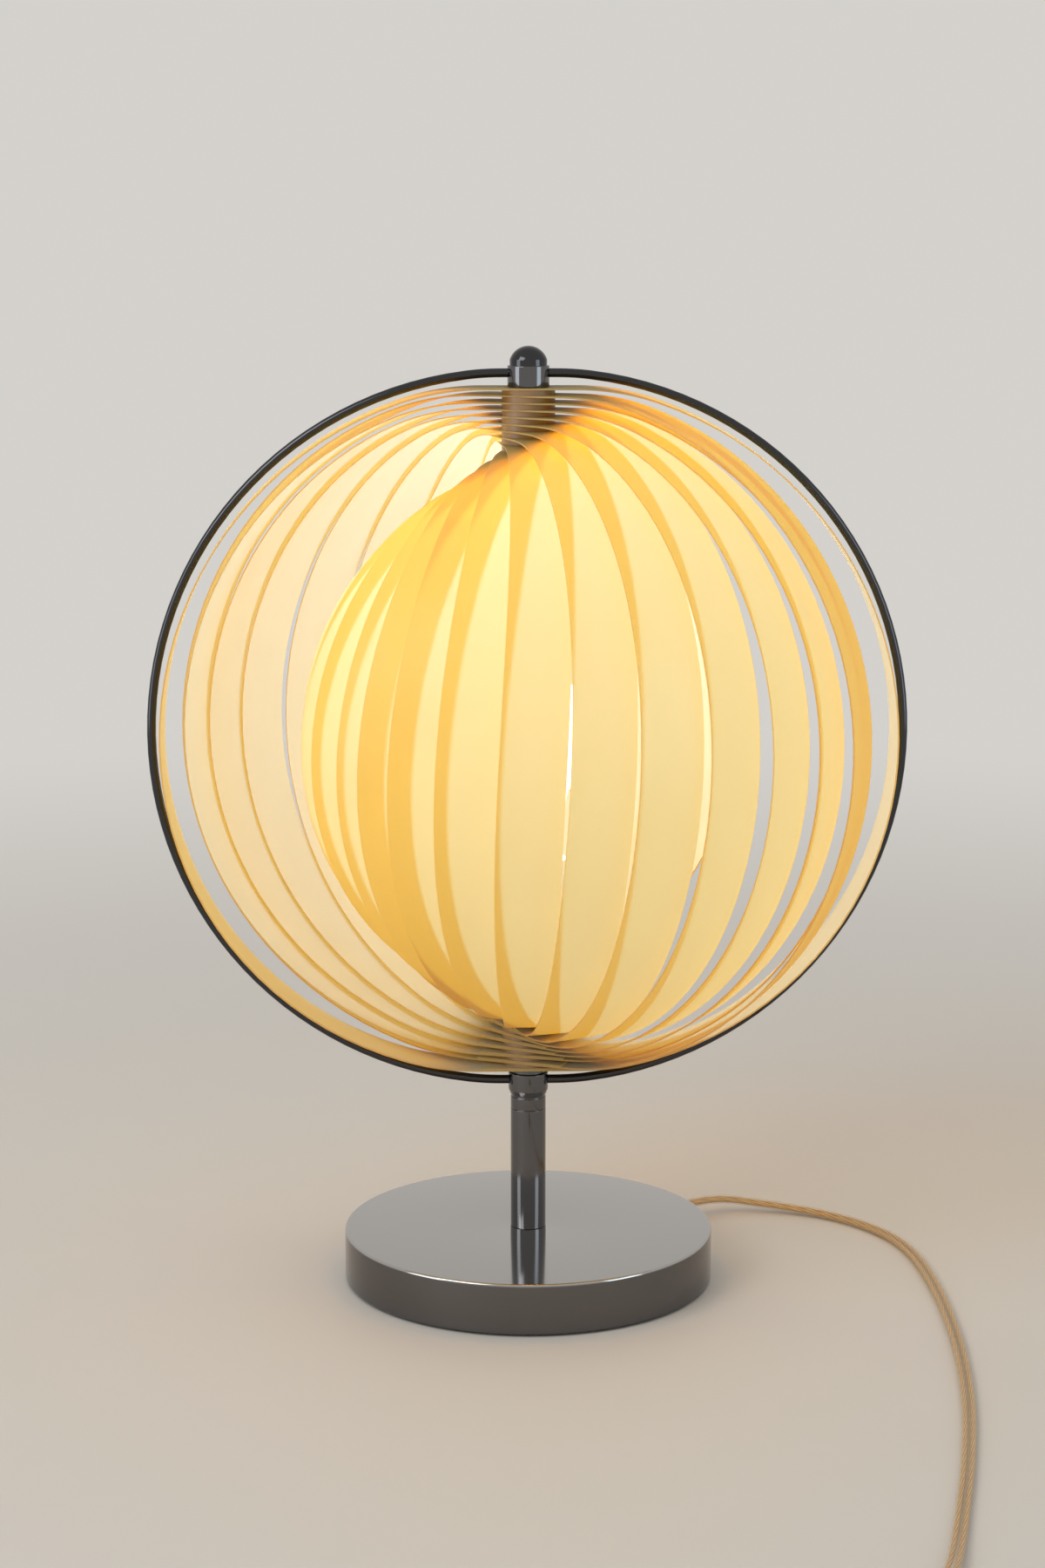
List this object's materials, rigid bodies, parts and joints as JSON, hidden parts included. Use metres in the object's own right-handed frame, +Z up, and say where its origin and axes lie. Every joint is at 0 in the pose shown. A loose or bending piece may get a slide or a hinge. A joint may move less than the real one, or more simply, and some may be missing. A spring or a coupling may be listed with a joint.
{
  "type": "table lamp",
  "caption": "Table lamp with a round chromed base and stem, a wire ring, and a round shade of nested translucent strip hoops that turn on an upright axis.",
  "frame": {"origin": "middle of the base's underside, where it rests on the table", "axes": "+Z up along the stem and the hoops' axis, the wire ring stands in the XZ plane, and -Y is towards the viewer"},
  "size_m": [0.3579, 0.6263, 0.425],
  "materials": {
    "chrome": "mirror",
    "cast_iron": "rough",
    "zinc_steel": "satin",
    "foot_rubber": "matte",
    "clear_moulding": "gloss",
    "wire_sheath": "gloss",
    "clear_cord": "gloss",
    "spacer_plastic": "satin",
    "opal_strip": "satin",
    "white_thermoset": "satin",
    "brass": "polished",
    "bulb_cap_metal": "satin",
    "bulb_glass": "gloss",
    "filament": "matte",
    "cord_fittings": "satin"
  },
  "bodies": {
    "lamp": {"base_cover": "chrome", "base_weight": "cast_iron", "bottom_plate": "zinc_steel", "foot_pad": "foot_rubber", "base_screws": "zinc_steel", "cord_bushing": "clear_moulding", "cord_grip": "clear_moulding", "inner_wires": "wire_sheath", "threaded_tube": "zinc_steel", "base_washer": "zinc_steel", "base_nut": "zinc_steel", "lock_washer": "zinc_steel", "lock_nut": "zinc_steel", "top_pin": "zinc_steel", "pin_washer": "zinc_steel", "pin_nut": "zinc_steel", "stem_tube": "chrome", "stem_collar": "chrome", "top_barrel": "chrome", "dome_cap": "chrome", "grub_screws": "zinc_steel", "ring_right": "chrome", "ring_left": "chrome", "strip_01": "opal_strip", "upper_spacers": "spacer_plastic", "lower_spacers": "spacer_plastic", "holder_shell": "white_thermoset", "holder_insert": "white_thermoset", "centre_contact": "brass", "threaded_sleeve": "brass", "bulb_cap": "bulb_cap_metal", "bulb_glass": "bulb_glass", "bulb_filament": "filament", "mains_cord": "clear_cord", "coil_lead": "clear_cord", "cord_coil": "clear_cord", "switch_base": "cord_fittings", "switch_cover": "cord_fittings", "switch_screws": "zinc_steel", "switch_contacts": "brass", "plug_body": "cord_fittings", "plug_pins": "brass"},
    "strip_02": {"strip_02": "opal_strip"},
    "strip_03": {"strip_03": "opal_strip"},
    "strip_04": {"strip_04": "opal_strip"},
    "strip_05": {"strip_05": "opal_strip"},
    "strip_06": {"strip_06": "opal_strip"},
    "strip_07": {"strip_07": "opal_strip"},
    "strip_08": {"strip_08": "opal_strip"},
    "strip_09": {"strip_09": "opal_strip"},
    "strip_10": {"strip_10": "opal_strip"},
    "strip_11": {"strip_11": "opal_strip"},
    "strip_12": {"strip_12": "opal_strip"},
    "strip_13": {"strip_13": "opal_strip"},
    "strip_14": {"strip_14": "opal_strip"},
    "strip_15": {"strip_15": "opal_strip"},
    "strip_16": {"strip_16": "opal_strip"},
    "rocker": {"switch_rocker": "cord_fittings"}
  },
  "joints": [
    {"name": "strip_02_turn", "type": "hinge", "parent": "lamp", "child": "strip_02", "pos_m": [0, 0, 0.2535], "axis": [0, 0, 1], "continuous": true},
    {"name": "strip_03_turn", "type": "hinge", "parent": "lamp", "child": "strip_03", "pos_m": [0, 0, 0.2535], "axis": [0, 0, 1], "continuous": true},
    {"name": "strip_04_turn", "type": "hinge", "parent": "lamp", "child": "strip_04", "pos_m": [0, 0, 0.2535], "axis": [0, 0, 1], "continuous": true},
    {"name": "strip_05_turn", "type": "hinge", "parent": "lamp", "child": "strip_05", "pos_m": [0, 0, 0.2535], "axis": [0, 0, 1], "continuous": true},
    {"name": "strip_06_turn", "type": "hinge", "parent": "lamp", "child": "strip_06", "pos_m": [0, 0, 0.2535], "axis": [0, 0, 1], "continuous": true},
    {"name": "strip_07_turn", "type": "hinge", "parent": "lamp", "child": "strip_07", "pos_m": [0, 0, 0.2535], "axis": [0, 0, 1], "continuous": true},
    {"name": "strip_08_turn", "type": "hinge", "parent": "lamp", "child": "strip_08", "pos_m": [0, 0, 0.2535], "axis": [0, 0, 1], "continuous": true},
    {"name": "strip_09_turn", "type": "hinge", "parent": "lamp", "child": "strip_09", "pos_m": [0, 0, 0.2535], "axis": [0, 0, 1], "continuous": true},
    {"name": "strip_10_turn", "type": "hinge", "parent": "lamp", "child": "strip_10", "pos_m": [0, 0, 0.2535], "axis": [0, 0, 1], "continuous": true},
    {"name": "strip_11_turn", "type": "hinge", "parent": "lamp", "child": "strip_11", "pos_m": [0, 0, 0.2535], "axis": [0, 0, 1], "continuous": true},
    {"name": "strip_12_turn", "type": "hinge", "parent": "lamp", "child": "strip_12", "pos_m": [0, 0, 0.2535], "axis": [0, 0, 1], "continuous": true},
    {"name": "strip_13_turn", "type": "hinge", "parent": "lamp", "child": "strip_13", "pos_m": [0, 0, 0.2535], "axis": [0, 0, 1], "continuous": true},
    {"name": "strip_14_turn", "type": "hinge", "parent": "lamp", "child": "strip_14", "pos_m": [0, 0, 0.2535], "axis": [0, 0, 1], "continuous": true},
    {"name": "strip_15_turn", "type": "hinge", "parent": "lamp", "child": "strip_15", "pos_m": [0, 0, 0.2535], "axis": [0, 0, 1], "continuous": true},
    {"name": "strip_16_turn", "type": "hinge", "parent": "lamp", "child": "strip_16", "pos_m": [0, 0, 0.2535], "axis": [0, 0, 1], "continuous": true},
    {"name": "rocker_tilt", "type": "hinge", "parent": "lamp", "child": "rocker", "pos_m": [0.12581, -0.40615, 0.01325], "axis": [0.9705, -0.241, 0], "range_deg": [-16, 0]}
  ]
}
